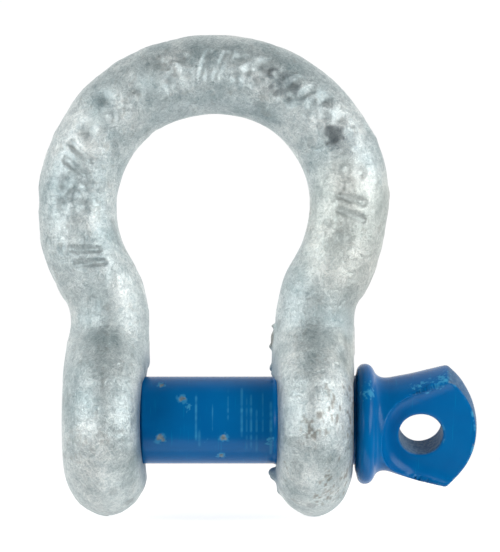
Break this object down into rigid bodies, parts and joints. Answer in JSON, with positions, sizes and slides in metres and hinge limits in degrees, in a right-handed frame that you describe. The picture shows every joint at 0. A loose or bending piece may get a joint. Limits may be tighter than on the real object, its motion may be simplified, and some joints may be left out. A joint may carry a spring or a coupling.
{
  "type": "bow shackle",
  "caption": "Screw-pin bow shackle: a rounded galvanised bow with a tapped and a plain ear, closed by a blue screw pin with a flattened eye.",
  "frame": {"origin": "on the pin's axis, halfway between the bow's two legs, in the plane that halves the bow's stock", "axes": "+X along the pin from the tapped ear to the eye, +Z from the pin to the crown of the bow, -Y towards a viewer who sees the eye on the right"},
  "size_m": [0.0805, 0.035, 0.0883],
  "materials": {
    "zinc": "hot-dip galvanised forged steel, satin and mottled",
    "blue_paint": "gloss blue paint on forged steel, chipped",
    "pin_steel": "blue paint, thin on the thread crests"
  },
  "bodies": {
    "bow": {"bow": "zinc"},
    "pin_bar": {"pin_shank": "blue_paint"},
    "pin_screw": {"pin_head": "blue_paint", "pin_thread": "pin_steel"}
  },
  "joints": [
    {"name": "pin_travel", "type": "slide", "parent": "bow", "child": "pin_bar", "axis": [1, 0, 0], "range_m": [-0.00045, 0.054]},
    {"name": "pin_turn", "type": "hinge", "parent": "pin_bar", "child": "pin_screw", "pos_m": [0, 0, 0], "axis": [1, 0, 0], "range_deg": [-82, 9721]}
  ],
  "couplings": [
    {"joint": "pin_turn", "follows": "pin_travel", "rad_per_m": 3141.6}
  ]
}
